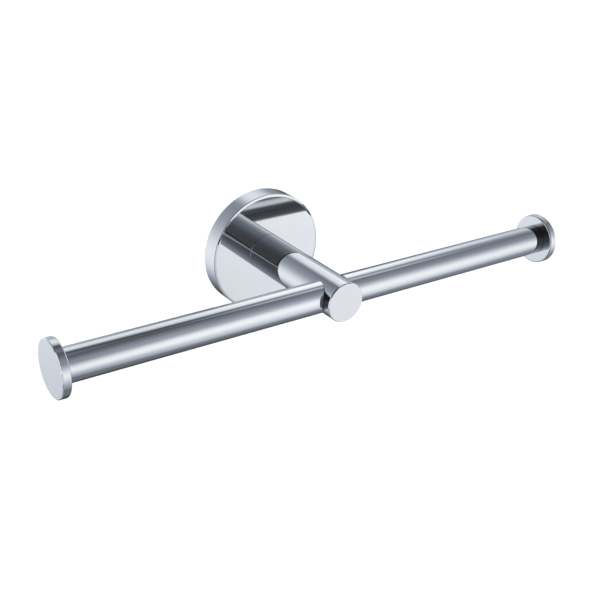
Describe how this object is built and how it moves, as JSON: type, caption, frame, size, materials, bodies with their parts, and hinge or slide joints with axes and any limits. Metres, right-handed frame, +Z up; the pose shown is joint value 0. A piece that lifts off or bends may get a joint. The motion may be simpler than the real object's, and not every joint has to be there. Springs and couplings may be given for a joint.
{
  "type": "double toilet roll holder",
  "caption": "Wall-mounted holder for paper rolls: a round rosette and post, with a plain bar to each side closed by a retaining disc.",
  "frame": {"origin": "middle of the holder's round back, on the face that lies on the wall", "axes": "+X to the right along the bars, +Y into the wall, +Z up; the holder stands out towards -Y"},
  "size_m": [0.291, 0.0815, 0.065],
  "materials": {
    "polished_chrome": "mirror polished chrome plating on brass",
    "bracket_steel": "plain stainless steel, machined",
    "screw_steel": "bright zinc-plated steel",
    "turned_brass": "bare turned brass"
  },
  "bodies": {
    "wall_side": {"wall_bracket": "bracket_steel"},
    "holder": {"rosette": "polished_chrome", "post": "polished_chrome", "post_screw": "screw_steel", "lock_washer": "screw_steel", "locating_pin": "screw_steel", "cross_spigot": "turned_brass", "tie_rod": "screw_steel", "left_bar": "polished_chrome", "right_bar": "polished_chrome", "left_end_disc": "polished_chrome", "right_end_disc": "polished_chrome"},
    "clamping_screw": {"set_screw": "screw_steel"}
  },
  "joints": [
    {"name": "holder_lift_off", "type": "slide", "parent": "wall_side", "child": "holder", "axis": [0, -1, 0], "range_m": [0, 0.02]},
    {"name": "set_screw_travel", "type": "slide", "parent": "holder", "child": "clamping_screw", "axis": [0, 0, -1], "range_m": [0, 0.0025]}
  ]
}
